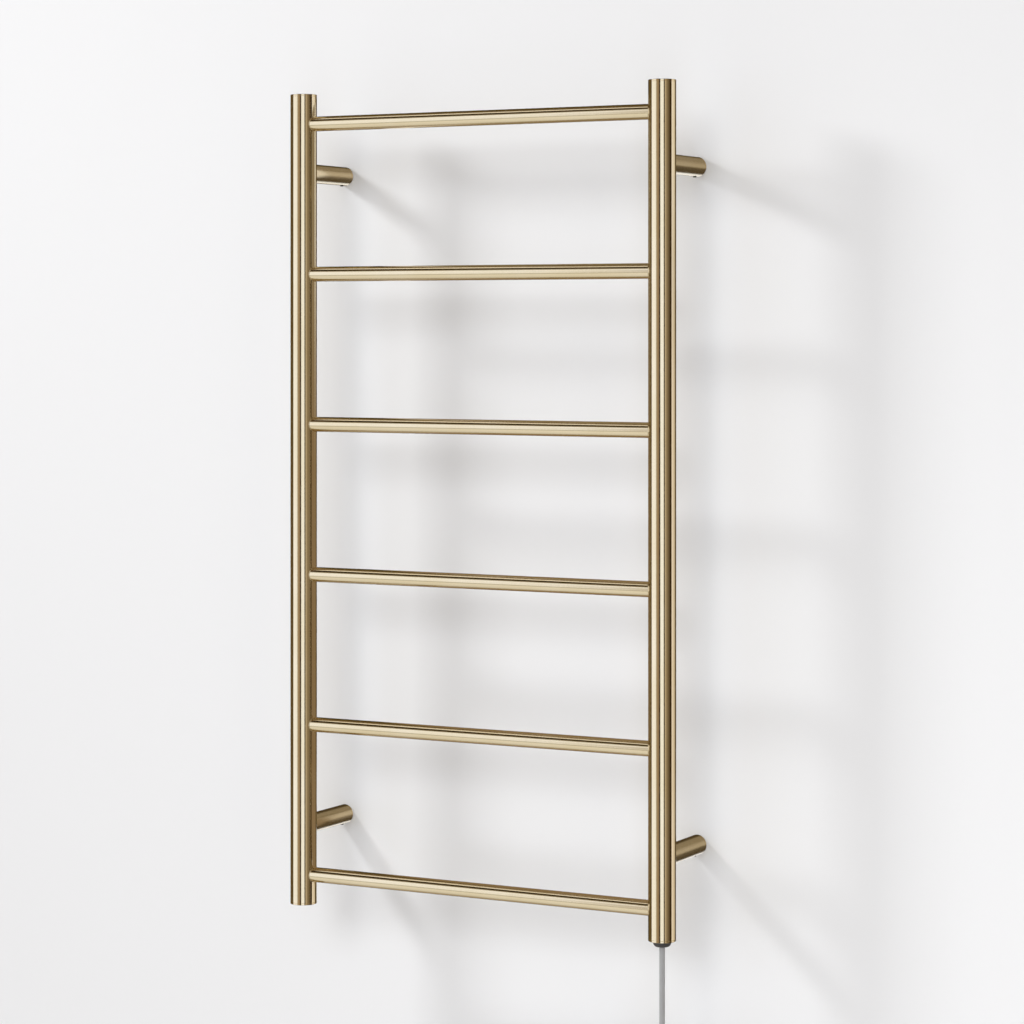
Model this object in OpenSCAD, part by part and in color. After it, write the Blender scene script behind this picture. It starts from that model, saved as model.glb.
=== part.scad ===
// Heated towel rail: a ladder of round tubes that slides over four wall spigots.
// X runs across the rail, Y runs into the wall and Z is up. The wall surface is Y = 0.
// The origin is the centre of the four wall screws.

/* [Stiles] */
// Distance between the stiles' axes
stile_spacing = 480; // [440:10:560]
// Outer diameter of a stile
stile_d = 32; // [30:1:36]
// Wall thickness of a stile
stile_wall = 1.5; // [1.2:0.1:1.8]
// How far the stiles run on past the top and bottom rungs
stile_overhang = 36; // [34:1:60]
// Distance from the wall to the stiles' axes
stand_off = 98; // [85:1:120]

/* [Rungs] */
// Distance between neighbouring rungs' axes
rung_pitch = 182; // [160:1:200]
// Outer diameter of a rung
rung_d = 18; // [16:1:20]
// Wall thickness of a rung
rung_wall = 1.2; // [1:0.1:1.5]

/* [Wall posts] */
// Outer diameter of a wall post
post_d = 23; // [22:0.5:25]
// Wall thickness of a wall post
post_wall = 2; // [1.8:0.1:2.2]
// Distance from an end rung's axis to the nearest wall posts' axes
post_inset = 59; // [45:1:75]

/* [Wall fixing] */
// Length of a wall spigot
spigot_length = 22; // [18:1:26]
// Diameter of the wall screw's hole
wall_screw_hole_d = 5.5; // [4.5:0.5:6]
// Diameter of a grub screw
grub_screw_d = 4; // [3:1:5]

/* [Power cord] */
// Diameter of the power cord
cord_d = 6.5; // [6:0.5:7]
// Diameter of the gland's dome nut
gland_d = 21; // [19:1:22]
// How far the dome nut stands out below the stile
gland_drop = 6.5; // [5:0.5:8]

/* [Hidden] */
$fn = 96;

LEFT = -1;
RIGHT = 1;
TOP = 1;
BOTTOM = -1;
UP = 1;
DOWN = -1;

BRASS = [0.72, 0.58, 0.38];
STEEL = [0.62, 0.63, 0.64];
BLACK_OXIDE = [0.12, 0.12, 0.12];
DARK_GREY = [0.22, 0.22, 0.22];
CORD_GREY = [0.62, 0.62, 0.62];
RUBBER_BLACK = [0.08, 0.08, 0.08];

// The ladder
rung_total = 6;
stile_x = stile_spacing / 2;
stile_y = -stand_off;
stile_r = stile_d / 2;
stile_bore_r = stile_r - stile_wall;
top_rung_z = rung_pitch * (rung_total - 1) / 2;
stile_top_z = top_rung_z + stile_overhang;
rung_bore_d = rung_d - 2 * rung_wall;

// The end caps
cap_plate = 2.5;
cap_edge = 0.35;
cap_plug_depth = 7;
cap_plug_wall = 1.2;
cap_plug_gap = 0.05;
cap_face_z = stile_top_z - cap_plate;

// The wall posts, spigots and grub screws
post_z = top_rung_z - post_inset;
post_bore_d = post_d - 2 * post_wall;
post_wall_gap = 0.2;
post_end_edge = 0.4;
running_gap = 0.05;
spigot_r = post_bore_d / 2 - running_gap;
spigot_flat_depth = 1;
spigot_flat_z = -(spigot_r - spigot_flat_depth);
wall_screw_head_d = 2 * wall_screw_hole_d;
countersink_depth = (wall_screw_head_d - wall_screw_hole_d) / 2;
grub_y = -8.5;
grub_length = 4;
grub_tip_d = 2.4;
grub_tip_depth = 0.8;
grub_socket_af = 2;
grub_socket_depth = 2;
grub_tip_z = spigot_flat_z - running_gap;

// The cable gland, on the right stile's axis and measured up from the stile's lower end
gland_z = -stile_top_z;
gland_thread_d = 16;
gland_body_top = 14;
gland_bore_d = 12;
gland_collar_d = 19;
gland_collar = 1.2;
gland_mouth_d = 13;
seal_height = 9;
lock_nut_af = 22;
lock_nut_height = 4;
earth_tag_d = 22;
earth_tag_thickness = 0.8;
earth_tab_width = 3;
earth_tab_height = 16;
earth_tab_y = -12;

// The cord's inner end, its cores and what they lead to
sheath_end_z = gland_z + 24;
core_d = 2;
core_sides = 8;
core_spread = 1.4;
core_side = 6;
fuse_d = 4.4;
fuse_length = 12;
fuse_bottom_z = gland_z + 52;
core_bend_length = 8;
core_stub = 4;
splice_d = 9;
splice_length = 50;
splice_bottom_z = gland_z + 95;
live_y = -2.6;
neutral_y = 2.4;
earth_core_y = earth_tab_y + earth_tag_thickness + core_d / 2;
earth_core_end_z = gland_z + 12;

// The heating cable
cable_d = 4;
cable_bend_r = 8;
cable_return_x = stile_x - 7;
splice_x = stile_x + core_side;
cable_top_z = splice_bottom_z + splice_length + 12;
end_seal_d = 6.5;
end_seal_length = 24;
end_seal_top_z = top_rung_z - 35;

// The free cord: a straight drop, then a hank whose turns lie side by side towards the wall
cord_r = cord_d / 2;
cord_start_z = gland_z - gland_drop;
cord_route = [
    [stile_x, stile_y, cord_start_z],
    [stile_x, stile_y, cord_start_z - 4.5],
    [stile_x, stile_y, cord_start_z - 10.5],
    [stile_x, stile_y, cord_start_z - 18.5],
    [stile_x, stile_y, cord_start_z - 28.5],
    [stile_x, stile_y, cord_start_z - 39.5],
    [stile_x, stile_y, cord_start_z - 50.5],
    [stile_x, stile_y, cord_start_z - 62.5],
    [stile_x, stile_y, cord_start_z - 74.5],
    [stile_x, stile_y, cord_start_z - 86.5],
    [stile_x, stile_y, cord_start_z - 99.5],
    [stile_x, stile_y, cord_start_z - 114.5]
];
hank_right_x = stile_x;
hank_top_z = cord_start_z - 122.5;
hank_fold_r = 19.5;
hank_run = 65;
hank_turns = 5;
hank_pitch = 6.6;
tail_y = stile_y + hank_turns * hank_pitch;
tail_route = [
    [stile_x, tail_y, hank_top_z - 70],
    [stile_x, tail_y, hank_top_z - 78],
    [stile_x, tail_y, hank_top_z - 86],
    [stile_x, tail_y, hank_top_z - 96],
    [stile_x, tail_y, hank_top_z - 107]
];
tail_end_z = hank_top_z - 107;
cord_sides = 10;

// The strap round the hank, and the plug
strap_width = 16;
strap_thickness = 1.5;
strap_gap = 0.3;
relief_length = 32;
relief_top_d = 9;
relief_bottom_d = 14;
plug_neck_d = 20;
plug_d = 37;
plug_height = 40;
plug_edge = 1;
plug_rim = 14;
plug_shoulder = 3;
plug_shoulder_z = 18;
plug_neck_z = 30;
plug_face_hole_d = 5;
plug_face_hole_x = 5;
plug_face_z = tail_end_z - relief_length - plug_height;
pin_spacing = 19;
pin_d = 4.8;
pin_length = 19;
clip_width = 6;
clip_thickness = 1;
clip_height = 17;
clip_x = plug_d / 2 - clip_thickness - 1.5;

function rung_z(k) = top_rung_z - (k - 1) * rung_pitch;

module at_stile(side) {
    translate([side * stile_x, stile_y, 0])
        children();
}

module at_post(side, level) {
    translate([side * stile_x, 0, level * post_z])
        children();
}

// A solid along Y, from y1 to y2
module along_y(y1, y2, d) {
    translate([0, y2, 0])
        rotate([90, 0, 0])
            cylinder(h = y2 - y1, d = d);
}

module along_x(x1, x2, d) {
    translate([x1, 0, 0])
        rotate([0, 90, 0])
            cylinder(h = x2 - x1, d = d);
}

module stile(side) {
    color(BRASS)
        at_stile(side)
            difference() {
                translate([0, 0, -cap_face_z])
                    cylinder(h = 2 * cap_face_z, r = stile_r);
                translate([0, 0, -stile_top_z])
                    cylinder(h = 2 * stile_top_z, r = stile_bore_r);
                for (k = [1:rung_total])
                    translate([0, 0, rung_z(k)])
                        along_x(side > 0 ? -stile_d : 0, side > 0 ? 0 : stile_d, rung_bore_d);
            }
}

module rung(k) {
    color(BRASS)
        translate([0, stile_y, rung_z(k)])
            difference() {
                along_x(-stile_x, stile_x, rung_d);
                along_x(-stile_x, stile_x, rung_bore_d);
                for (side = [LEFT, RIGHT])
                    translate([side * stile_x, 0, -rung_d])
                        cylinder(h = 2 * rung_d, r = stile_r);
            }
}

// A stile's end closure, drawn with its outer face upwards
module cap_blank() {
    rotate_extrude()
        polygon([
            [0, 0],
            [stile_bore_r - cap_plug_gap - cap_plug_wall, 0],
            [stile_bore_r - cap_plug_gap - cap_plug_wall, -cap_plug_depth],
            [stile_bore_r - cap_plug_gap, -cap_plug_depth],
            [stile_bore_r - cap_plug_gap, 0],
            [stile_r - cap_edge, 0],
            [stile_r, cap_edge],
            [stile_r, cap_plate - cap_edge],
            [stile_r - cap_edge, cap_plate],
            [0, cap_plate]
        ]);
}

module end_cap_top(side) {
    color(BRASS)
        at_stile(side)
            translate([0, 0, cap_face_z])
                cap_blank();
}

module end_cap_bottom(side, hole_d) {
    color(BRASS)
        at_stile(side)
            difference() {
                translate([0, 0, -cap_face_z])
                    mirror([0, 0, 1])
                        cap_blank();
                if (hole_d > 0)
                    translate([0, 0, -stile_top_z - cap_plate])
                        cylinder(h = 3 * cap_plate, d = hole_d);
            }
}

module wall_post(side, level) {
    color(BRASS)
        at_post(side, level)
            difference() {
                union() {
                    along_y(stile_y, -post_wall_gap - post_end_edge, post_d);
                    translate([0, -post_wall_gap, 0])
                        rotate([90, 0, 0])
                            cylinder(h = post_end_edge, d1 = post_d - 2 * post_end_edge,
                                d2 = post_d);
                }
                along_y(stile_y, stile_r, post_bore_d);
                translate([0, stile_y, -post_d])
                    cylinder(h = 2 * post_d, r = stile_r);
                translate([0, grub_y, -post_d])
                    cylinder(h = post_d, d = grub_screw_d + 2 * running_gap);
            }
}

module wall_spigot(side, level) {
    color(STEEL)
        at_post(side, level)
            difference() {
                along_y(-spigot_length, 0, 2 * spigot_r);
                along_y(-2 * spigot_length, spigot_length, wall_screw_hole_d);
                translate([0, -spigot_length + countersink_depth, 0])
                    rotate([90, 0, 0])
                        cylinder(h = countersink_depth, d1 = wall_screw_hole_d,
                            d2 = wall_screw_head_d);
                translate([-spigot_r, -2 * spigot_length, spigot_flat_z - spigot_r])
                    cube([2 * spigot_r, 3 * spigot_length, spigot_r]);
            }
}

module grub_screw(side, level) {
    color(BLACK_OXIDE)
        at_post(side, level)
            translate([0, grub_y, grub_tip_z - grub_length])
                difference() {
                    union() {
                        cylinder(h = grub_length - grub_tip_depth, d = grub_screw_d);
                        translate([0, 0, grub_length - grub_tip_depth])
                            cylinder(h = grub_tip_depth, d1 = grub_screw_d, d2 = grub_tip_d);
                    }
                    translate([0, 0, -1])
                        cylinder(h = grub_socket_depth + 1, d = grub_socket_af / cos(30), $fn = 6);
                }
}

// The gland's threaded tube with the collar that bears on the end cap from outside
module gland_body() {
    color(DARK_GREY)
        translate([stile_x, stile_y, gland_z])
            difference() {
                union() {
                    translate([0, 0, -gland_collar])
                        cylinder(h = gland_collar, d = gland_collar_d);
                    cylinder(h = gland_body_top, d = gland_thread_d);
                }
                translate([0, 0, -2 * gland_collar])
                    cylinder(h = 2 * gland_body_top, d = gland_bore_d);
            }
}

module gland_seal() {
    color(RUBBER_BLACK)
        translate([stile_x, stile_y, gland_z - gland_collar])
            difference() {
                cylinder(h = seal_height, d = gland_bore_d);
                translate([0, 0, -1])
                    cylinder(h = seal_height + 2, d = cord_d);
            }
}

// The low dome seen from outside: it covers the collar and narrows to a flat round mouth
module gland_dome_nut() {
    shell_r = gland_d / 2;
    mouth_r = gland_mouth_d / 2;
    round_x = shell_r - mouth_r;
    round_z = gland_drop - gland_collar;
    color(DARK_GREY)
        translate([stile_x, stile_y, gland_z])
            rotate_extrude()
                difference() {
                    polygon(concat(
                        [[cord_r, -gland_drop], [cord_r, 0], [shell_r, 0]],
                        [for (a = [0:6:90])
                            [mouth_r + round_x * cos(a), -gland_collar - round_z * sin(a)]]
                    ));
                    translate([0, -gland_collar])
                        square([gland_collar_d / 2, gland_collar + 1]);
                }
}

module gland_lock_nut() {
    color(DARK_GREY)
        translate([stile_x, stile_y, gland_z + cap_plate + earth_tag_thickness])
            difference() {
                cylinder(h = lock_nut_height, d = lock_nut_af / cos(30), $fn = 6);
                translate([0, 0, -1])
                    cylinder(h = lock_nut_height + 2, d = gland_thread_d);
            }
}

// A ring terminal under the lock nut, with its tab standing up beside the nut
module earth_tag() {
    color(STEEL)
        translate([stile_x, stile_y, gland_z + cap_plate])
            difference() {
                union() {
                    cylinder(h = earth_tag_thickness, d = earth_tag_d);
                    translate([-earth_tab_width / 2, earth_tab_y, 0])
                        cube([earth_tab_width, earth_tag_thickness, earth_tab_height]);
                    translate([-earth_tab_width / 2, earth_tab_y, 0])
                        cube([earth_tab_width, earth_tab_width, earth_tag_thickness]);
                }
                translate([0, 0, -1])
                    cylinder(h = earth_tag_thickness + 2, d = gland_thread_d);
            }
}

function unit(v) = v / norm(v);
function tangent(p, i) = unit(p[min(i + 1, len(p) - 1)] - p[max(i - 1, 0)]);
function side_of(t) = unit(cross(t, [1, 0, 0]));

// A round cord or core swept along a list of points, closed with a flat end at each end
module cord_tube(points, r, sides) {
    rings = len(points);
    ring_points = [
        for (i = [0:rings - 1])
            let (t = tangent(points, i), u = side_of(t), v = cross(t, u))
                for (s = [0:sides - 1])
                    points[i] + r * (cos(360 * s / sides) * u + sin(360 * s / sides) * v)
    ];
    walls = [
        for (i = [0:rings - 2])
            for (s = [0:sides - 1])
                let (a = i * sides + s, b = i * sides + (s + 1) % sides)
                    [a, b, b + sides, a + sides]
    ];
    first_end = [[for (s = [sides - 1:-1:0]) s]];
    last_end = [[for (s = [0:sides - 1]) (rings - 1) * sides + s]];
    polyhedron(ring_points, concat(walls, first_end, last_end), convexity = 4);
}

module cord_inner_end() {
    color(CORD_GREY)
        translate([stile_x, stile_y, gland_z - gland_drop])
            cylinder(h = sheath_end_z - gland_z + gland_drop, d = cord_d);
}

module core(points) {
    translate([stile_x, stile_y, 0])
        cord_tube(points, core_d / 2, core_sides);
}

module live_core() {
    color("saddlebrown") {
        core([
            [core_spread, -core_spread, sheath_end_z],
            [core_spread, -core_spread, sheath_end_z + core_stub],
            [core_side, live_y, fuse_bottom_z - core_bend_length],
            [core_side, live_y, fuse_bottom_z]
        ]);
        core([
            [core_side, live_y, fuse_bottom_z + fuse_length],
            [core_side, live_y, splice_bottom_z]
        ]);
    }
}

module neutral_core() {
    color("steelblue")
        core([
            [core_spread, core_spread, sheath_end_z],
            [core_spread, core_spread, sheath_end_z + core_stub],
            [core_side, neutral_y, fuse_bottom_z - core_bend_length],
            [core_side, neutral_y, splice_bottom_z]
        ]);
}

module earth_core() {
    color("yellowgreen")
        core([
            [-core_spread, -core_spread, sheath_end_z],
            [-core_spread, -core_spread, sheath_end_z + 3],
            [-core_spread, -4, sheath_end_z + 6],
            [-core_spread / 2, -8, sheath_end_z + 5],
            [0, earth_core_y, sheath_end_z],
            [0, earth_core_y, earth_core_end_z]
        ]);
}

module thermal_fuse() {
    color("white")
        translate([stile_x + core_side, stile_y + live_y, fuse_bottom_z])
            cylinder(h = fuse_length, d = fuse_d);
}

module splice_sleeve() {
    color(RUBBER_BLACK)
        translate([splice_x, stile_y, splice_bottom_z])
            cylinder(h = splice_length, d = splice_d);
}

// A quarter turn of the heating cable, from a rung into a stile
module cable_corner(side, run_x, z, turn) {
    start = side > 0 ? (turn > 0 ? 270 : 0) : (turn > 0 ? 180 : 90);
    translate([run_x - side * cable_bend_r, stile_y, z + turn * cable_bend_r])
        rotate([90, 0, 0])
            rotate([0, 0, start])
                rotate_extrude(angle = 90)
                    translate([cable_bend_r, 0])
                        circle(d = cable_d);
}

module cable_upright(x, z1, z2) {
    translate([x, stile_y, z1])
        cylinder(h = z2 - z1, d = cable_d);
}

// One cable runs through every rung in turn and changes rung inside the stiles
module heating_cable() {
    loop_r = (splice_x - cable_return_x) / 2;
    color("firebrick") {
        cable_upright(splice_x, splice_bottom_z + splice_length, cable_top_z);
        translate([splice_x - loop_r, stile_y, cable_top_z])
            rotate([90, 0, 0])
                rotate_extrude(angle = 180)
                    translate([loop_r, 0])
                        circle(d = cable_d);
        cable_upright(cable_return_x, rung_z(rung_total) + cable_bend_r, cable_top_z);
        for (k = [1:rung_total]) {
            right_x = k == rung_total ? cable_return_x : stile_x;
            left_turn = k % 2 == 0 ? UP : DOWN;
            right_turn = k == rung_total || (k % 2 == 1 && k > 1) ? UP : DOWN;
            translate([0, stile_y, rung_z(k)])
                along_x(-stile_x + cable_bend_r, right_x - cable_bend_r, cable_d);
            cable_corner(LEFT, -stile_x, rung_z(k), left_turn);
            cable_corner(RIGHT, right_x, rung_z(k), right_turn);
        }
        for (k = [2:2:rung_total])
            cable_upright(-stile_x, rung_z(k) + cable_bend_r, rung_z(k - 1) - cable_bend_r);
        for (k = [3:2:rung_total])
            cable_upright(stile_x, rung_z(k) + cable_bend_r, rung_z(k - 1) - cable_bend_r);
        cable_upright(stile_x, end_seal_top_z, rung_z(1) - cable_bend_r);
    }
}

module cable_end_seal() {
    color(RUBBER_BLACK)
        translate([stile_x, stile_y, end_seal_top_z - end_seal_length])
            cylinder(h = end_seal_length, d = end_seal_d);
}

module power_cord() {
    color(CORD_GREY)
        cord_tube(cord_route, cord_r, cord_sides);
}

module cord_tail() {
    color(CORD_GREY)
        cord_tube(tail_route, cord_r, cord_sides);
}

// The outline of the hank's turns, seen along Y: two straight runs and two round folds
module hank_outline(r) {
    translate([0, -hank_run / 2])
        circle(r = r);
    translate([0, hank_run / 2])
        circle(r = r);
    square([2 * r, hank_run], center = true);
}

module hank_frame() {
    translate([hank_right_x - hank_fold_r, stile_y - cord_r, hank_top_z - hank_run / 2])
        rotate([90, 0, 0])
            mirror([0, 0, 1])
                children();
}

module cord_hank() {
    color(CORD_GREY)
        hank_frame()
            linear_extrude(height = hank_turns * hank_pitch + cord_d)
                difference() {
                    hank_outline(hank_fold_r + cord_r);
                    hank_outline(hank_fold_r - cord_r);
                }
}

// A flat band round the waist of the hank
module hank_strap() {
    inner_x = 2 * (hank_fold_r + cord_r + strap_gap);
    inner_y = hank_turns * hank_pitch + cord_d + 2 * strap_gap;
    color(RUBBER_BLACK)
        translate([hank_right_x - hank_fold_r,
            stile_y - cord_r + (inner_y - 2 * strap_gap) / 2,
            hank_top_z - hank_run / 2])
            difference() {
                cube([inner_x + 2 * strap_thickness, inner_y + 2 * strap_thickness, strap_width],
                    center = true);
                cube([inner_x, inner_y, 2 * strap_width], center = true);
            }
}

module at_plug() {
    translate([hank_right_x, tail_y, 0])
        children();
}

module plug_strain_relief() {
    color(CORD_GREY)
        at_plug()
            translate([0, 0, tail_end_z - relief_length])
                cylinder(h = relief_length, d1 = relief_bottom_d, d2 = relief_top_d);
}

// A round moulded plug with a grip that widens to its face, and a channel for each earth clip
module plug_body() {
    face_r = plug_d / 2;
    neck_r = plug_neck_d / 2;
    color(CORD_GREY)
        at_plug()
            translate([0, 0, plug_face_z])
                difference() {
                    rotate_extrude()
                        polygon([
                            [0, 0],
                            [face_r - plug_edge, 0],
                            [face_r, plug_edge],
                            [face_r, plug_rim],
                            [face_r - plug_shoulder, plug_shoulder_z],
                            [neck_r + plug_shoulder, plug_neck_z],
                            [neck_r, plug_height - plug_edge],
                            [neck_r - plug_edge, plug_height],
                            [0, plug_height]
                        ]);
                    for (turn = [0, 180])
                        rotate([0, 0, turn])
                            translate([clip_x, -clip_width / 2, -1])
                                cube([plug_d, clip_width, clip_height + 1]);
                    translate([plug_face_hole_x, 0, -1])
                        cylinder(h = clip_height, d = plug_face_hole_d);
                }
}

module plug_pins() {
    color(STEEL)
        at_plug()
            for (side = [LEFT, RIGHT])
                translate([0, side * pin_spacing / 2, plug_face_z - pin_length])
                    union() {
                        translate([0, 0, pin_d / 2])
                            cylinder(h = pin_length - pin_d / 2, d = pin_d);
                        translate([0, 0, pin_d / 2])
                            sphere(d = pin_d);
                    }
}

module plug_earth_clips() {
    color(STEEL)
        at_plug()
            for (turn = [0, 180])
                rotate([0, 0, turn])
                    translate([clip_x, -clip_width / 2, plug_face_z])
                        cube([clip_thickness, clip_width, clip_height]);
}

wall_spigot(LEFT, TOP);  // wall_spigot_top_left
wall_spigot(RIGHT, TOP);  // wall_spigot_top_right
wall_spigot(LEFT, BOTTOM);  // wall_spigot_bottom_left
wall_spigot(RIGHT, BOTTOM);  // wall_spigot_bottom_right
stile(LEFT);  // stile_left
stile(RIGHT);  // stile_right
rung(1);  // rung_1
rung(2);  // rung_2
rung(3);  // rung_3
rung(4);  // rung_4
rung(5);  // rung_5
rung(6);  // rung_6
end_cap_top(LEFT);  // end_cap_top_left
end_cap_top(RIGHT);  // end_cap_top_right
end_cap_bottom(LEFT, 0);  // end_cap_bottom_left
end_cap_bottom(RIGHT, gland_thread_d);  // end_cap_bottom_right
wall_post(LEFT, TOP);  // wall_post_top_left
wall_post(RIGHT, TOP);  // wall_post_top_right
wall_post(LEFT, BOTTOM);  // wall_post_bottom_left
wall_post(RIGHT, BOTTOM);  // wall_post_bottom_right
grub_screw(LEFT, TOP);  // grub_screw_top_left
grub_screw(RIGHT, TOP);  // grub_screw_top_right
grub_screw(LEFT, BOTTOM);  // grub_screw_bottom_left
grub_screw(RIGHT, BOTTOM);  // grub_screw_bottom_right
gland_body();
gland_seal();
gland_dome_nut();
gland_lock_nut();
earth_tag();
cord_inner_end();
live_core();
neutral_core();
earth_core();
thermal_fuse();
splice_sleeve();
heating_cable();
cable_end_seal();
power_cord();
cord_hank();
cord_tail();
hank_strap();
plug_strain_relief();
plug_body();
plug_pins();
plug_earth_clips();
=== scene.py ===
# Wall-hung electric towel rail in satin brass: the looks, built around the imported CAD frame.
import math

import bmesh
import bpy
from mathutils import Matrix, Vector


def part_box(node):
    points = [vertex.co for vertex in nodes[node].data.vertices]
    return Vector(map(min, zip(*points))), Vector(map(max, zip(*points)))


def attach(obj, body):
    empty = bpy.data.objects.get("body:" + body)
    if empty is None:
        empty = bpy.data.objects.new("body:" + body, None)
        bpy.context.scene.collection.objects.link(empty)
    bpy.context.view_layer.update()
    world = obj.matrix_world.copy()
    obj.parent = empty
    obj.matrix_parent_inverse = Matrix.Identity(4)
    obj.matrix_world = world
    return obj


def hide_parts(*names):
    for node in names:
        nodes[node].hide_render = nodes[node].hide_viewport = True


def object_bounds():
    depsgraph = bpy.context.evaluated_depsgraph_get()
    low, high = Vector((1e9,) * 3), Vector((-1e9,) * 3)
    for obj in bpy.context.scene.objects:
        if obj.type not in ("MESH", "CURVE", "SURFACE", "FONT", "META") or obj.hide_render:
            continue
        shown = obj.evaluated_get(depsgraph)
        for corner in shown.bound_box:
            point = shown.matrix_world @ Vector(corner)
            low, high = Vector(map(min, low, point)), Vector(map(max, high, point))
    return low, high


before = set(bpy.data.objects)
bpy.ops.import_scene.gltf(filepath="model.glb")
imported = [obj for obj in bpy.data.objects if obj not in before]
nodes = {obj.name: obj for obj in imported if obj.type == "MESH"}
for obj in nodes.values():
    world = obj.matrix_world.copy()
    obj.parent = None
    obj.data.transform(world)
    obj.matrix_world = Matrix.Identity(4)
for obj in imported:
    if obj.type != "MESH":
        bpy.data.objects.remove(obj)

cad_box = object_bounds()
MM = 0.001
X_AXIS = Vector((1, 0, 0))
Y_AXIS = Vector((0, 1, 0))
Z_AXIS = Vector((0, 0, 1))


# ---------------------------------------------------------------- camera

CAMERA_PLACE = (1.6943, -3.2137, 0.2088)
CAMERA_AZIMUTH = 27.876  # degrees round to the right of straight on
CAMERA_LENS = 105.864  # millimetres, on a 36 mm sensor
CAMERA_DROP = 0.18057  # how far the level camera's picture is shifted down, in picture widths


def make_camera():
    data = bpy.data.cameras.new("camera")
    data.sensor_width = 36
    data.lens = CAMERA_LENS
    data.shift_y = -CAMERA_DROP
    data.clip_start = 0.05
    data.clip_end = 60
    camera = bpy.data.objects.new("camera", data)
    bpy.context.collection.objects.link(camera)
    camera.location = CAMERA_PLACE
    camera.rotation_euler = (math.radians(90), 0, math.radians(CAMERA_AZIMUTH))
    bpy.context.scene.camera = camera


# ---------------------------------------------------------------- mesh helpers


def add_mesh(name, verts, faces, material, smooth=True):
    """A mesh object with outward normals."""
    mesh = bpy.data.meshes.new(name)
    mesh.from_pydata(verts, [], faces)
    bm = bmesh.new()
    bm.from_mesh(mesh)
    bmesh.ops.recalc_face_normals(bm, faces=bm.faces)
    bm.to_mesh(mesh)
    bm.free()
    mesh.materials.append(material)
    for face in mesh.polygons:
        face.use_smooth = smooth
    obj = bpy.data.objects.new(name, mesh)
    bpy.context.collection.objects.link(obj)
    return obj


def skin_rings(rings, closed=False, caps=True):
    """Verts and faces of a skin over rings of points; closed joins the last ring to the first."""
    count = len(rings[0])
    verts = [point for ring in rings for point in ring]
    faces = []
    for r in range(len(rings) if closed else len(rings) - 1):
        here = r * count
        there = (r + 1) % len(rings) * count
        for i in range(count):
            j = (i + 1) % count
            faces.append((here + i, here + j, there + j, there + i))
    if caps and not closed:
        faces.append(tuple(range(count)))
        faces.append(tuple(range(len(verts) - count, len(verts))))
    return verts, faces


def bead_rings(path, radius, sides):
    """Round rings of a closed bead along a loop of points."""
    middle = sum(path, Vector()) / len(path)
    rings = []
    for i, point in enumerate(path):
        along = (path[(i + 1) % len(path)] - path[i - 1]).normalized()
        out = point - middle
        out = (out - along * out.dot(along)).normalized()
        side = along.cross(out)
        turns = [math.tau * s / sides for s in range(sides)]
        rings.append([point + radius * (out * math.cos(t) + side * math.sin(t)) for t in turns])
    return rings


def turned_rings(profile, centre, steps):
    """Rings of a shape turned about the vertical line through centre, from (radius, z) points."""
    turns = [math.tau * s / steps for s in range(steps)]
    return [
        [Vector((centre.x + r * math.cos(t), centre.y + r * math.sin(t), z)) for t in turns]
        for r, z in profile
    ]


# ---------------------------------------------------------------- materials


class Look:
    """A node material, with short calls for the nodes that this script uses."""

    def __init__(self, name, **constants):
        self.material = bpy.data.materials.new(name)
        self.material.use_nodes = True
        self.tree = self.material.node_tree
        self.shader = self.tree.nodes["Principled BSDF"]
        for socket, value in constants.items():
            self.shader.inputs[socket.replace("_", " ")].default_value = value

    def node(self, kind, **inputs):
        made = self.tree.nodes.new(kind)
        for socket, value in inputs.items():
            self.feed(made.inputs[socket.replace("_", " ")], value)
        return made

    def feed(self, socket, value):
        if isinstance(value, bpy.types.NodeSocket):
            self.tree.links.new(value, socket)
        else:
            socket.default_value = value

    def place(self, stretch=(1, 1, 1)):
        """The object's own coordinates in metres, stretched."""
        coordinates = self.node("ShaderNodeTexCoord").outputs["Object"]
        return self.node("ShaderNodeMapping", Vector=coordinates, Scale=stretch).outputs["Vector"]

    def noise(self, scale, stretch=(1, 1, 1), detail=2.0, roughness=0.5):
        made = self.node(
            "ShaderNodeTexNoise", Vector=self.place(stretch), Scale=scale, Detail=detail, Roughness=roughness
        )
        return made.outputs["Fac"]

    def cells(self, scale, stretch=(1, 1, 1)):
        made = self.node("ShaderNodeTexVoronoi", Vector=self.place(stretch), Scale=scale)
        return made.outputs["Distance"]

    def waves(self, scale, direction, distortion=0.0):
        made = self.node("ShaderNodeTexWave", Vector=self.place(), Scale=scale, Distortion=distortion)
        made.bands_direction = direction
        return made.outputs["Fac"]

    def span(self, value, low, high, start=0.3, end=0.7):
        """value, usually between start and end, spread between low and high."""
        made = self.node(
            "ShaderNodeMapRange", Value=value, From_Min=start, From_Max=end, To_Min=low, To_Max=high
        )
        return made.outputs["Result"]

    def blend(self, factor, first, second):
        made = self.node("ShaderNodeMix")
        made.data_type = "RGBA"
        self.feed(made.inputs[0], factor)
        self.feed(made.inputs[6], (*first, 1) if isinstance(first, tuple) else first)
        self.feed(made.inputs[7], (*second, 1) if isinstance(second, tuple) else second)
        return made.outputs[2]

    def colour(self, value):
        self.feed(self.shader.inputs["Base Color"], value)

    def rough(self, value):
        self.feed(self.shader.inputs["Roughness"], value)

    def bump(self, height, depth):
        """Relief of this depth in metres; a second call lies on the first."""
        made = self.node("ShaderNodeBump", Height=height, Distance=depth, Strength=1.0)
        before = self.shader.inputs["Normal"]
        if before.is_linked:
            self.tree.links.new(before.links[0].from_socket, made.inputs["Normal"])
        self.tree.links.new(made.outputs["Normal"], before)


BRASS_DEEP = (0.85, 0.735, 0.50)
BRASS_PALE = (0.89, 0.785, 0.57)


def grain_stretch(axis, across):
    """Noise drawn out into lines across an axis: full scale along it and this share across it."""
    return tuple(1.0 if along else across for along in axis)


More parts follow.
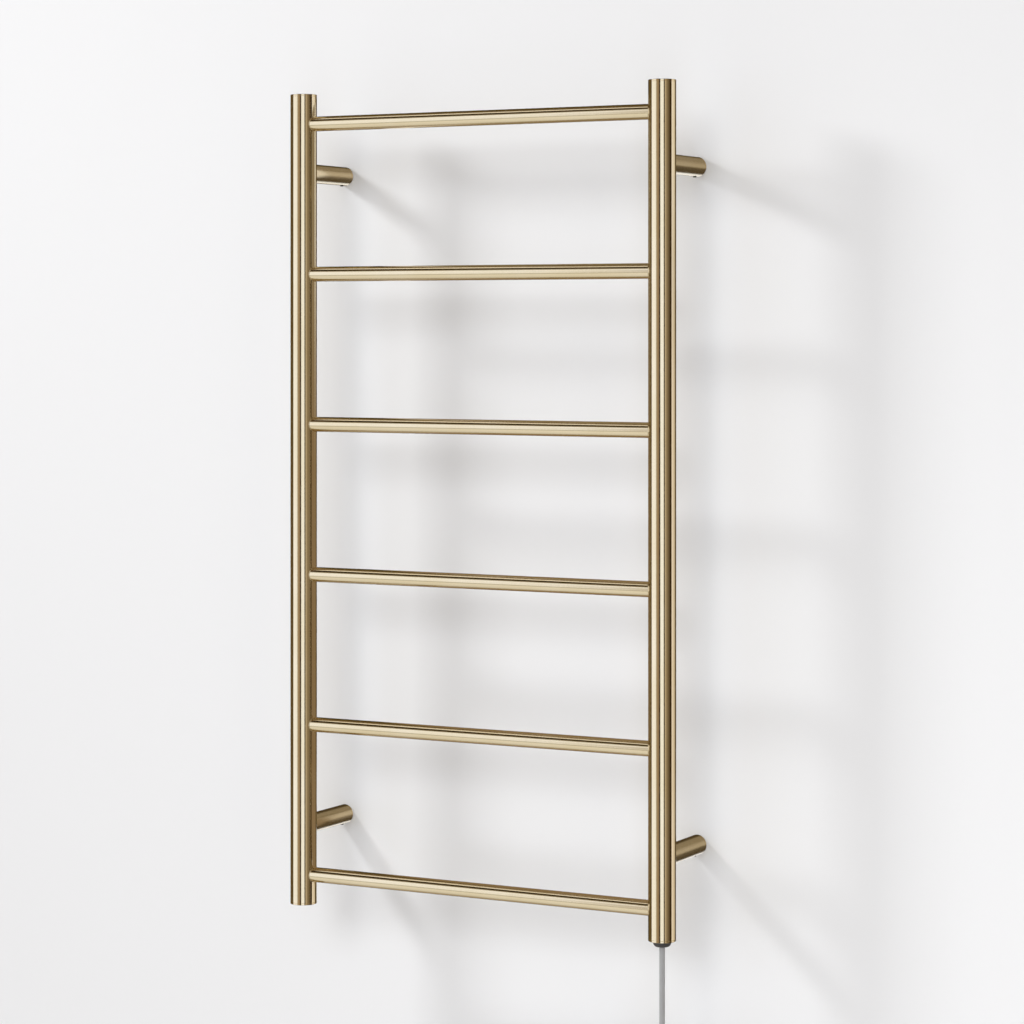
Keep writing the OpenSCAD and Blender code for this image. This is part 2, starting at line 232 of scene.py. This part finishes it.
def brass_look(name, axis, roughness, grain_depth=0.0000006):
    """Satin brass whose fine grain runs round the tube, across its axis."""
    look = Look(name, Metallic=1.0)
    grain = look.noise(1500, grain_stretch(axis, 0.02), detail=3)
    cloud = look.noise(14, detail=3)
    look.colour(look.blend(look.span(cloud, 0, 1), BRASS_DEEP, BRASS_PALE))
    look.rough(look.span(grain, roughness - 0.02, roughness + 0.03))
    look.bump(grain, grain_depth)
    return look.material


def metal_look(name, dark, pale, roughness, axis=Z_AXIS, grain_depth=0.00001):
    """Turned or pressed metal with fine tool lines across its axis."""
    look = Look(name, Metallic=1.0)
    lines = look.noise(2500, grain_stretch(axis, 0.05), detail=2)
    look.colour(look.blend(look.span(look.noise(160), 0, 1), dark, pale))
    look.rough(look.span(lines, roughness - 0.06, roughness + 0.08))
    look.bump(lines, grain_depth)
    return look.material


def plastic_look(name, dark, pale, roughness, texture_scale=1800, texture_depth=0.00002, **constants):
    """Moulded plastic or rubber: a fine moulded texture and a slight cloud in its colour."""
    look = Look(name, **constants)
    look.colour(look.blend(look.span(look.noise(60, detail=4), 0, 1), dark, pale))
    look.rough(look.span(look.noise(220), roughness - 0.06, roughness + 0.06))
    look.bump(look.cells(texture_scale), texture_depth)
    return look.material


def earth_look():
    """Green insulation with a yellow stripe."""
    look = Look("earth_insulation", Roughness=0.4)
    stripe = look.span(look.waves(60, "X", 1.0), 0, 1, 0.45, 0.55)
    look.colour(look.blend(stripe, (0.05, 0.28, 0.06), (0.80, 0.66, 0.05)))
    look.bump(look.noise(900), 0.00001)
    return look.material


def strap_look():
    """Hook-and-loop tape: a dense pile of small loops."""
    look = Look("hook_and_loop", Sheen_Weight=0.35, Sheen_Roughness=0.5)
    pile = look.cells(1300)
    look.colour(look.blend(look.span(pile, 0, 1, 0.1, 0.6), (0.045, 0.045, 0.048), (0.012, 0.012, 0.013)))
    look.rough(look.span(look.noise(500), 0.75, 0.95))
    look.bump(pile, 0.0003)
    return look.material


def ceramic_look():
    look = Look("fuse_ceramic", Coat_Weight=0.3, Coat_Roughness=0.15)
    look.colour(look.blend(look.span(look.noise(700), 0, 1), (0.78, 0.76, 0.71), (0.86, 0.84, 0.80)))
    look.rough(look.span(look.noise(300), 0.25, 0.4))
    look.bump(look.noise(400), 0.00003)
    return look.material


def sleeve_look():
    """Heat-shrink sleeve, drawn into small wrinkles."""
    look = Look("shrink_sleeve")
    wrinkles = look.noise(300, (1, 1, 0.25), detail=3)
    look.colour(look.blend(look.span(wrinkles, 0, 1), (0.012, 0.012, 0.013), (0.03, 0.03, 0.031)))
    look.rough(look.span(wrinkles, 0.35, 0.5))
    look.bump(wrinkles, 0.0001)
    return look.material


def make_looks():
    grey, pale_grey = (0.370, 0.378, 0.388), (0.402, 0.410, 0.420)
    return {
        "tube_upright": brass_look("satin_brass_upright", Z_AXIS, 0.11),
        "tube_level": brass_look("satin_brass_level", X_AXIS, 0.11),
        "post": brass_look("satin_brass_post", Y_AXIS, 0.22),
        "weld": brass_look("satin_brass_weld", Z_AXIS, 0.2, 0.00002),
        "spigot_steel": metal_look("spigot_steel", (0.52, 0.52, 0.50), (0.62, 0.62, 0.60), 0.28, Y_AXIS),
        "grub_screw_steel": metal_look("grub_screw_steel", (0.04, 0.04, 0.04), (0.07, 0.07, 0.07), 0.38),
        "tag_steel": metal_look("tag_steel", (0.60, 0.60, 0.58), (0.70, 0.70, 0.68), 0.22),
        "plug_metal": metal_look("plug_metal", (0.66, 0.64, 0.60), (0.74, 0.72, 0.68), 0.2),
        "gland_plastic": plastic_look("gland_plastic", (0.046, 0.046, 0.048), (0.066, 0.066, 0.068), 0.42),
        "seal_rubber": plastic_look("seal_rubber", (0.016, 0.016, 0.016), (0.03, 0.03, 0.03), 0.7),
        "cord_sheath": plastic_look(
            "cord_sheath", grey, pale_grey, 0.42, texture_scale=2600, texture_depth=0.000012
        ),
        "live_insulation": plastic_look("live_insulation", (0.16, 0.06, 0.025), (0.20, 0.08, 0.03), 0.4),
        "neutral_insulation": plastic_look(
            "neutral_insulation", (0.02, 0.12, 0.42), (0.03, 0.15, 0.5), 0.4
        ),
        "earth_insulation": earth_look(),
        "fuse_ceramic": ceramic_look(),
        "shrink_sleeve": sleeve_look(),
        "heating_cable_silicone": plastic_look(
            "heating_cable_silicone", (0.40, 0.10, 0.07), (0.50, 0.14, 0.09), 0.5, Subsurface_Weight=0.1
        ),
        "strap_fabric": strap_look(),
        "plug_moulding": plastic_look("plug_moulding", grey, pale_grey, 0.5, texture_depth=0.00004),
    }


def look_for(name, slot):
    """Brass pieces differ by the way their grain runs; every other slot has one look."""
    if slot != "brass_satin":
        return looks[slot]
    if name.startswith("rung"):
        return looks["tube_level"]
    return looks["post"] if name.startswith("wall_post") else looks["tube_upright"]


def dress_nodes():
    for name, obj in nodes.items():
        for holder in obj.material_slots:
            holder.material = look_for(name, holder.material.name)


# ---------------------------------------------------------------- cord

CORD_D = 6.5 * MM
EXIT = Vector((240, -98, -497.5)) * MM
# The cord's route is in millimetres, as in the design.
DROP_Z = [-497.5, -502, -508, -516, -526, -537, -548, -560, -572, -584, -597, -612]
HANK_TOP = -620
HANK_RUN = 65
FOLD_R = 19.5
TURNS = 5
TURN_PITCH = 6.6
HANK_SLACK = 0.35  # how far a fold bulges or tightens from turn to turn
TAIL_Y = -65
TAIL_Z = [-690, -698, -706, -716, -727, -735]
STEPS_IN_RUN = 3
STEPS_IN_FOLD = 8


def hank_turn(turn):
    """One turn of the hank: down the right run, round the bottom, up the left run, round the top."""
    x, y = EXIT.x / MM, EXIT.y / MM + TURN_PITCH * turn
    centre_x = x - FOLD_R
    slack = HANK_SLACK * math.sin(2.4 * turn + 1)
    points = []
    for side, start_z, end_z in ((1, HANK_TOP, HANK_TOP - HANK_RUN), (-1, HANK_TOP - HANK_RUN, HANK_TOP)):
        for s in range(STEPS_IN_RUN):
            z = start_z + (end_z - start_z) * s / STEPS_IN_RUN
            points.append((centre_x + side * FOLD_R, y, z))
        for s in range(STEPS_IN_FOLD):
            turned = math.pi * s / STEPS_IN_FOLD
            reach = side * (FOLD_R + slack * math.sin(turned))
            points.append((centre_x + reach * math.cos(turned), y, end_z - reach * math.sin(turned)))
    climb = len(points) - STEPS_IN_RUN
    return [
        (px, py + TURN_PITCH * max(0, i - STEPS_IN_RUN) / climb, pz)
        for i, (px, py, pz) in enumerate(points)
    ]


def cord_points():
    x, y = EXIT.x / MM, EXIT.y / MM
    points = [(x, y, z) for z in DROP_Z]
    for turn in range(TURNS):
        points += hank_turn(turn)
    points += [(x, TAIL_Y, HANK_TOP - HANK_RUN * s / STEPS_IN_RUN) for s in range(STEPS_IN_RUN + 1)]
    points += [(x, TAIL_Y, z) for z in TAIL_Z]
    return [Vector(point) * MM for point in points]


def make_cord():
    data = bpy.data.curves.new("mains_cord", "CURVE")
    data.dimensions = "3D"
    data.bevel_depth = CORD_D / 2
    data.bevel_resolution = 4
    data.resolution_u = 6
    data.use_fill_caps = True
    points = cord_points()
    spline = data.splines.new("BEZIER")
    spline.bezier_points.add(len(points) - 1)
    for bezier, point in zip(spline.bezier_points, points):
        bezier.co = point
        bezier.handle_left_type = bezier.handle_right_type = "AUTO"
    data.materials.append(looks["cord_sheath"])
    cord = bpy.data.objects.new("mains_cord", data)
    bpy.context.collection.objects.link(cord)
    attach(cord, "rail")
    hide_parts("power_cord", "cord_hank", "cord_tail")
    return cord


# ---------------------------------------------------------------- tie, strain relief and plug

STRAP_T = 1.5 * MM
STRAP_CORNER = 4.3 * MM
STRAP_LAP = 0.62  # share of a second round that the strap's free end covers
STRAP_EDGE = 0.4 * MM
STRAP_CLIMB = 0.1  # share of a round over which the strap climbs onto its own first end
STRAP_FREE_TIP = 1 / 14  # shares of a round over which the two ends narrow to their tips
STRAP_FIRST_TIP = 0.01
STRAP_STEPS = 120


def strap_line(shape_low, shape_high, offset, turned):
    """Where the strap's middle lies, turned 0 to 1 round the bundle from the front's middle."""
    low = Vector((shape_low.x - offset, shape_low.y - offset))
    high = Vector((shape_high.x + offset, shape_high.y + offset))
    radius = STRAP_CORNER + offset
    wide, deep = high.x - low.x - 2 * radius, high.y - low.y - 2 * radius
    arc = math.pi / 2 * radius
    left = turned % 1 * (2 * wide + 2 * deep + 4 * arc)
    corners = [
        (Vector((high.x - radius, low.y + radius)), -90, wide / 2),
        (Vector((high.x - radius, high.y - radius)), 0, deep),
        (Vector((low.x + radius, high.y - radius)), 90, wide),
        (Vector((low.x + radius, low.y + radius)), 180, deep),
    ]
    for centre, angle, straight in corners:
        heading = math.radians(angle)
        out = Vector((math.cos(heading), math.sin(heading)))
        along = Vector((-out.y, out.x))
        if left <= straight:
            return centre + out * radius - along * (straight - left), out
        left -= straight
        if left <= arc:
            swung = heading + left / radius
            out = Vector((math.cos(swung), math.sin(swung)))
            return centre + out * radius, out
        left -= arc
    out = Vector((0, -1))
    return Vector((low.x + radius + left, low.y)), out


def make_tie():
    """The hook-and-loop tie: once round the hank, its end lapped over the front and one side."""
    low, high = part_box("hank_strap")
    inner_low, inner_high = low + Vector((STRAP_T,) * 3), high - Vector((STRAP_T,) * 3)
    height = high.z - low.z
    middle = (low.z + high.z) / 2
    rings = []
    for s in range(STRAP_STEPS + 1):
        turned = s / STRAP_STEPS * (1 + STRAP_LAP)
        rise = min(max((turned - 1 + STRAP_CLIMB) / STRAP_CLIMB, 0), 1)
        offset = STRAP_T / 2 + (STRAP_T + 0.1 * MM) * rise * rise * (3 - 2 * rise)
        place, out = strap_line(inner_low, inner_high, offset, turned)
        free_tip = (1 + STRAP_LAP - turned) / STRAP_FREE_TIP
        first_tip = 0.6 + 0.4 * turned / STRAP_FIRST_TIP
        tip = min(1, free_tip, first_tip)
        half = height / 2 * math.sqrt(max(0.2, 1 - (1 - tip) ** 2))
        ring = []
        for across, thick in (
            (-half, -0.5), (-half, 0.5), (-half + STRAP_EDGE, 1), (half - STRAP_EDGE, 1),
            (half, 0.5), (half, -0.5), (half - STRAP_EDGE, -1), (-half + STRAP_EDGE, -1),
        ):
            point = place + out * (thick * STRAP_T / 2)
            ring.append(Vector((point.x, point.y, middle + across)))
        rings.append(ring)
    tie = add_mesh("hank_tie", *skin_rings(rings), looks["strap_fabric"])
    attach(tie, "rail")
    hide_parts("hank_strap")
    return tie


RELIEF_RIBS = 6
RELIEF_TOP_R = 4.5 * MM
RELIEF_EDGE = 0.6 * MM
RELIEF_GROOVE = 0.9 * MM
RELIEF_STEPS_PER_RIB = 8
RELIEF_SIDES = 48


def make_relief():
    """The plug's tapered sleeve, ringed with soft ribs so that it bends without kinking."""
    low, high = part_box("plug_strain_relief")
    centre = (low + high) / 2
    foot_r = (high.x - low.x) / 2
    first_z = high.z - RELIEF_EDGE
    bore = CORD_D / 2 - 0.1 * MM
    profile = [(bore, high.z), (RELIEF_TOP_R - RELIEF_EDGE, high.z), (RELIEF_TOP_R, first_z)]
    steps = RELIEF_RIBS * RELIEF_STEPS_PER_RIB
    for s in range(1, steps):
        down = s / steps
        rib = max(0, math.sin(math.tau * down * RELIEF_RIBS)) ** 0.7
        fade = min(1, (1 - down) * RELIEF_RIBS)
        radius = RELIEF_TOP_R + (foot_r - RELIEF_TOP_R) * down - RELIEF_GROOVE * rib * fade
        profile.append((radius, first_z - (first_z - low.z) * down))
    profile += [(foot_r, low.z), (bore, low.z)]
    rings = turned_rings(profile, centre, RELIEF_SIDES)
    relief = add_mesh("plug_relief_sleeve", *skin_rings(rings, closed=True), looks["plug_moulding"])
    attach(relief, "rail")
    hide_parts("plug_strain_relief")
    return relief


# ---------------------------------------------------------------- weld beads

BEAD_R = 0.55 * MM
BEAD_SIDES = 8
BEAD_STEPS = 40


def joint_loop(stile, tube, out, over):
    """The loop where a tube meets the upright stile: out runs along the tube and over runs across it."""
    stile_low, stile_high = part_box(stile)
    tube_low, tube_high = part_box(tube)
    stile_r, tube_r = (stile_high.x - stile_low.x) / 2, (tube_high.z - tube_low.z) / 2
    middle = (stile_low + stile_high) / 2
    middle.z = (tube_low.z + tube_high.z) / 2
    path = []
    for step in range(BEAD_STEPS):
        turn = math.tau * step / BEAD_STEPS
        across, up = tube_r * math.sin(turn), tube_r * math.cos(turn)
        reach = math.sqrt(stile_r**2 - across**2)
        path.append(middle + out * reach + over * across + Z_AXIS * up)
    return path


def make_beads():
    """A fine polished weld bead round each joint of the rungs and the wall posts with the stiles."""
    rungs = sorted(name for name in nodes if name.startswith("rung"))
    for side, inward in (("left", X_AXIS), ("right", -X_AXIS)):
        stile = f"stile_{side}"
        loops = {f"weld_{rung}_{side}": joint_loop(stile, rung, inward, Y_AXIS) for rung in rungs}
        for end in ("top", "bottom"):
            post = f"wall_post_{end}_{side}"
            loops[f"weld_post_{end}_{side}"] = joint_loop(stile, post, Y_AXIS, X_AXIS)
        for name, path in loops.items():
            rings = bead_rings(path, BEAD_R, BEAD_SIDES)
            bead = add_mesh(name, *skin_rings(rings, closed=True), looks["weld"])
            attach(bead, "rail")


# ---------------------------------------------------------------- studio

# Lengths are in metres and the lights' places are in the rail's own frame.
FLOOR_GAP = 0.28  # air under the plug
WALL_GAP = 0.0003  # air between the rail's back and the wall
BACKDROP_HALF_WIDTH = 4.0
BACKDROP_TOP = 3.0
BACKDROP_FRONT = -6.0
WALL_PAINT = (0.872, 0.890, 0.908)
BACKDROP = (0.86, 0.86, 0.86)
KEY_PLACE = (-1.38, -0.82, 1.08)
KEY_SIZE = 0.29
KEY_POWER = 4.2
SIDE_PLACE = (1.5, -1.3, -0.7)
SIDE_SIZE = 1.4
SIDE_POWER = 6.4
FILL_STRENGTH = 0.86
FILL_AWAY = 3.0
FILL_ELEVATION = 27  # degrees
FILL_SPREAD = 27  # degrees

# The room that the brass reflects, painted in this order. Each panel is its azimuth from and to
# (degrees from straight in front of the rail, to the right), its elevation from and to, the
# softness of its edges in degrees, and its colour at its left and right side.
ROOM = (0.115, 0.08, 0.035)
WHITE = (1.03, 1.06, 1.15)
BROWN = (0.27, 0.22, 0.15)
UMBER = (0.07, 0.05, 0.025)
NEAR_BLACK = (0.02, 0.012, 0.004)
PANELS = [
    ("floor", -200, 200, -95, -34, 8, (0.32, 0.28, 0.21), (0.32, 0.28, 0.21)),
    ("lit floor", -80, 15, -95, -24, 6, (0.66, 0.63, 0.58), (1.0, 0.99, 0.96)),
    ("floor on the left", -155, -80, -95, -25, 8, BROWN, (0.55, 0.51, 0.46)),
    ("far floor", -75, -20, -25, -15, 3, (0.58, 0.55, 0.50), (0.58, 0.55, 0.50)),
    ("left softbox", -70.5, -25, -15, 28, 3, (1.08, 1.10, 1.22), (0.98, 1.00, 1.08)),
    ("warm gap", -25, 2, -60, 70, 4, (0.46, 0.38, 0.28), (0.26, 0.17, 0.10)),
    ("camera side", 0, 10.7, -60, 70, 2, NEAR_BLACK, NEAR_BLACK),
    ("camera softbox", 10.2, 38.3, -40, 45, 2, WHITE, WHITE),
    ("stand", 38.3, 47.5, -60, 70, 2, NEAR_BLACK, NEAR_BLACK),
    ("right room", 47, 62, -60, 70, 2, (0.60, 0.52, 0.41), (0.36, 0.29, 0.20)),
    ("right corner", 62, 97, -60, 70, 3, (0.30, 0.235, 0.15), (0.03, 0.015, 0.004)),
    ("dark corner", 97, 108.5, -60, 70, 2, (0.03, 0.015, 0.004), (0.03, 0.015, 0.004)),
    ("low wall on the right", 110, 147, -50, 1, 4, (1.0, 0.93, 0.88), (0.60, 0.52, 0.44)),
    ("wall on the right", 110, 147, 1, 60, 4, (1.0, 0.96, 0.94), (0.75, 0.68, 0.60)),
    ("behind the posts", 147, 162, -6, 22, 6, (0.42, 0.36, 0.27), (0.42, 0.36, 0.27)),
    ("above the posts", 158, 181, 9, 60, 8, BROWN, BROWN),
    ("above the posts, left", -181, -168, 9, 60, 8, BROWN, BROWN),
    ("upper wall on the left", -168, -140, 2, 60, 5, UMBER, UMBER),
    ("below the posts", 150, 181, -60, -10, 5, UMBER, UMBER),
    ("below the posts, left", -181, -174, -60, -10, 5, UMBER, UMBER),
    ("low light", -174, -154, -38, -9, 4, WHITE, WHITE),
    ("ceiling edge", -80, -30, 53, 61, 2, (0.90, 0.83, 0.76), (0.90, 0.83, 0.76)),
    ("window head", -62, -22, 29, 38, 3, (0.28, 0.23, 0.15), (0.28, 0.23, 0.15)),
    ("under the ceiling", -66, -22, 38, 53.5, 3, NEAR_BLACK, NEAR_BLACK),
]


# The shaded wall between the stiles, as the brass sees it, painted as a reflection on two glowing strips
# side by side. Both are painted brown shade low down and turn to their own top colour between two heights:
# painted lit wall in the strip by the stile, painted shade in the strip between.
SHADE_LEFT_INSET = 0.034
SHADE_RIGHT_INSET = 0.02
SHADE_FIRST_STRIP = 0.1  # share of the width
SHADE_OFF_WALL = 0.001
SHADE_LOW, SHADE_HIGH = -0.01, 0.40
SHADE_FOOT = (0.25, 0.18, 0.11)
# The pale top of the strip by the stile is a painted reflection of lit wall; the foot colour is painted
# shade.
SHADE_PALE = (0.86, 0.82, 0.80)


class Studio:
    """The world's node tree, which paints the room's panels over each other."""

    def __init__(self):
        world = bpy.data.worlds.new("studio")
        world.use_nodes = True
        bpy.context.scene.world = world
        self.tree = world.node_tree
        direction = self.tree.nodes.new("ShaderNodeTexCoord").outputs["Generated"]
        split = self.tree.nodes.new("ShaderNodeSeparateXYZ")
        self.tree.links.new(direction, split.inputs[0])
        to_the_front = self.math("MULTIPLY", split.outputs["Y"], -1.0)
        around = self.math("ARCTAN2", split.outputs["X"], to_the_front)
        self.azimuth = self.math("MULTIPLY", around, math.degrees(1))
        self.elevation = self.math("MULTIPLY", self.math("ARCSINE", split.outputs["Z"]), math.degrees(1))

    def math(self, operation, first, second=None):
        made = self.tree.nodes.new("ShaderNodeMath")
        made.operation = operation
        for socket, value in zip(made.inputs, (first, second)):
            if isinstance(value, bpy.types.NodeSocket):
                self.tree.links.new(value, socket)
            elif value is not None:
                socket.default_value = value
        return made.outputs[0]

    def step(self, value, start, end, smooth=True):
        made = self.tree.nodes.new("ShaderNodeMapRange")
        made.interpolation_type = "SMOOTHSTEP" if smooth else "LINEAR"
        self.tree.links.new(value, made.inputs["Value"])
        made.inputs["From Min"].default_value = start
        made.inputs["From Max"].default_value = end
        return made.outputs["Result"]

    def between(self, value, low, high, soft):
        rise = self.step(value, low - soft / 2, low + soft / 2)
        fall = self.step(value, high - soft / 2, high + soft / 2)
        return self.math("MULTIPLY", rise, self.math("SUBTRACT", 1.0, fall))

    def mix(self, factor, first, second):
        made = self.tree.nodes.new("ShaderNodeMix")
        made.data_type = "RGBA"
        for socket, value in ((made.inputs[0], factor), (made.inputs[6], first), (made.inputs[7], second)):
            if isinstance(value, bpy.types.NodeSocket):
                self.tree.links.new(value, socket)
            else:
                socket.default_value = (*value, 1)
        return made.outputs[2]

    def paint(self, panels):
        colour = ROOM
        for _, left, right, low, high, soft, left_colour, right_colour in panels:
            across = self.step(self.azimuth, left, right, smooth=False)
            panel = self.mix(across, left_colour, right_colour)
            inside = self.between(self.azimuth, left, right, soft)
            level = self.between(self.elevation, low, high, soft)
            colour = self.mix(self.math("MULTIPLY", inside, level), colour, panel)
        camera_ray = self.tree.nodes.new("ShaderNodeLightPath").outputs["Is Camera Ray"]
        seen = self.mix(camera_ray, colour, BACKDROP)
        background = self.tree.nodes["Background"]
        self.tree.links.new(seen, background.inputs["Color"])


def backdrop_look():
    """Plain pale paint, clear from behind so that the rail can be seen from every side."""
    material = bpy.data.materials.new("backdrop_paint")
    material.use_nodes = True
    tree = material.node_tree
    shader = tree.nodes["Principled BSDF"]
    shader.inputs["Base Color"].default_value = (*WALL_PAINT, 1)
    shader.inputs["Roughness"].default_value = 1.0
    shader.inputs["Specular IOR Level"].default_value = 0.0
    back = tree.nodes.new("ShaderNodeNewGeometry").outputs["Backfacing"]
    clear = tree.nodes.new("ShaderNodeBsdfTransparent").outputs["BSDF"]
    mix = tree.nodes.new("ShaderNodeMixShader")
    tree.links.new(back, mix.inputs[0])
    tree.links.new(shader.outputs["BSDF"], mix.inputs[1])
    tree.links.new(clear, mix.inputs[2])
    tree.links.new(mix.outputs["Shader"], tree.nodes["Material Output"].inputs["Surface"])
    return material


def glow_look(name):
    """A material that only glows, and its Emission node."""
    material = bpy.data.materials.new(name)
    material.use_nodes = True
    tree = material.node_tree
    tree.nodes.remove(tree.nodes["Principled BSDF"])
    glow = tree.nodes.new("ShaderNodeEmission")
    tree.links.new(glow.outputs["Emission"], tree.nodes["Material Output"].inputs["Surface"])
    return material, glow


def floor_look():
    """A floor of the backdrop's own even tone."""
    material, glow = glow_look("floor_paint")
    glow.inputs["Color"].default_value = (*BACKDROP, 1)
    return material


def shade_look(name, top_colour):
    """A painted reflection of the wall between the stiles as the brass sees it, glowing: brown shade low
    down, paler above.
    """
    material, glow = glow_look(name)
    tree = material.node_tree
    split = tree.nodes.new("ShaderNodeSeparateXYZ")
    tree.links.new(tree.nodes.new("ShaderNodeTexCoord").outputs["Object"], split.inputs[0])
    rise = tree.nodes.new("ShaderNodeMapRange")
    rise.interpolation_type = "SMOOTHSTEP"
    rise.inputs["From Min"].default_value = SHADE_LOW
    rise.inputs["From Max"].default_value = SHADE_HIGH
    tree.links.new(split.outputs["Z"], rise.inputs["Value"])
    mix = tree.nodes.new("ShaderNodeMix")
    mix.data_type = "RGBA"
    tree.links.new(rise.outputs["Result"], mix.inputs[0])
    mix.inputs[6].default_value = (*SHADE_FOOT, 1)
    mix.inputs[7].default_value = (*top_colour, 1)
    tree.links.new(mix.outputs[2], glow.inputs["Color"])
    return material


def make_sheet(name, corners, material):
    mesh = bpy.data.meshes.new(name)
    mesh.from_pydata(corners, [], [(0, 1, 2, 3)])
    mesh.materials.append(material)
    sheet = bpy.data.objects.new(name, mesh)
    bpy.context.collection.objects.link(sheet)
    sheet.visible_glossy = False
    sheet.visible_shadow = False
    return sheet


def upright_sheet(name, left, right, low, high, y, material):
    return make_sheet(name, [(left, y, low), (right, y, low), (right, y, high), (left, y, high)], material)


def hang_light(light, place):
    """Puts a light at this place, aimed at the rail's middle; the brass's reflections skip it."""
    obj = bpy.data.objects.new(light.name, light)
    obj.location = place
    obj.rotation_euler = Vector(place).to_track_quat("Z", "Y").to_euler()
    obj.visible_glossy = False
    bpy.context.collection.objects.link(obj)


def softbox(name, size, power, place):
    """A square area light."""
    light = bpy.data.lights.new(name, "AREA")
    light.size = size
    light.energy = power
    hang_light(light, place)
    return light


def make_backdrop():
    """The wall just behind the rail and a wide floor under it; returns the wall's y."""
    wall_y = cad_box[1].y + WALL_GAP
    floor_z = cad_box[0].z - FLOOR_GAP
    left, right = -BACKDROP_HALF_WIDTH, BACKDROP_HALF_WIDTH
    upright_sheet("backdrop_wall", left, right, floor_z, BACKDROP_TOP, wall_y, backdrop_look())
    front, back = BACKDROP_FRONT, wall_y
    outline = ((left, front), (right, front), (right, back), (left, back))
    floor = make_sheet("backdrop_floor", [(x, y, floor_z) for x, y in outline], floor_look())
    floor.visible_diffuse = False
    return wall_y


def make_shades(wall_y):
    """The glowing strips that carry the painted reflection of the shaded wall, which only the brass's
    reflections see.
    """
    stile_low, stile_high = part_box("stile_left")
    left = stile_high.x + SHADE_LEFT_INSET
    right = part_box("stile_right")[0].x - SHADE_RIGHT_INSET
    middle = left + SHADE_FIRST_STRIP * (right - left)
    for name, start, end, top_colour in (
        ("shade_by_the_stile", left, middle, SHADE_PALE),
        ("shade_between", middle, right, BROWN),
    ):
        look = shade_look(name, top_colour)
        place_y = wall_y - SHADE_OFF_WALL
        shade = upright_sheet(name, start, end, stile_low.z, stile_high.z, place_y, look)
        shade.visible_camera = shade.visible_diffuse = False
        shade.visible_glossy = True


def make_lights():
    """A near softbox high on the left, a broad frontal fill, and a side light that casts no shadow."""
    key = softbox("key", KEY_SIZE, KEY_POWER, KEY_PLACE)
    key.use_nodes = True
    even = key.node_tree.nodes.new("ShaderNodeLightFalloff")
    even.inputs["Strength"].default_value = 1.0
    key.node_tree.links.new(even.outputs["Constant"], key.node_tree.nodes["Emission"].inputs["Strength"])
    softbox("side", SIDE_SIZE, SIDE_POWER, SIDE_PLACE).use_shadow = False
    fill = bpy.data.lights.new("fill", "SUN")
    fill.energy = FILL_STRENGTH
    fill.angle = math.radians(FILL_SPREAD)
    rise = math.radians(FILL_ELEVATION)
    hang_light(fill, (0, -FILL_AWAY * math.cos(rise), FILL_AWAY * math.sin(rise)))


def make_studio():
    bpy.context.scene.view_settings.view_transform = "Standard"
    Studio().paint(PANELS)
    make_shades(make_backdrop())
    make_lights()


# ---------------------------------------------------------------- the scene

looks = make_looks()
make_camera()
cord = make_cord()
tie = make_tie()
relief = make_relief()
dress_nodes()
make_beads()
make_studio()
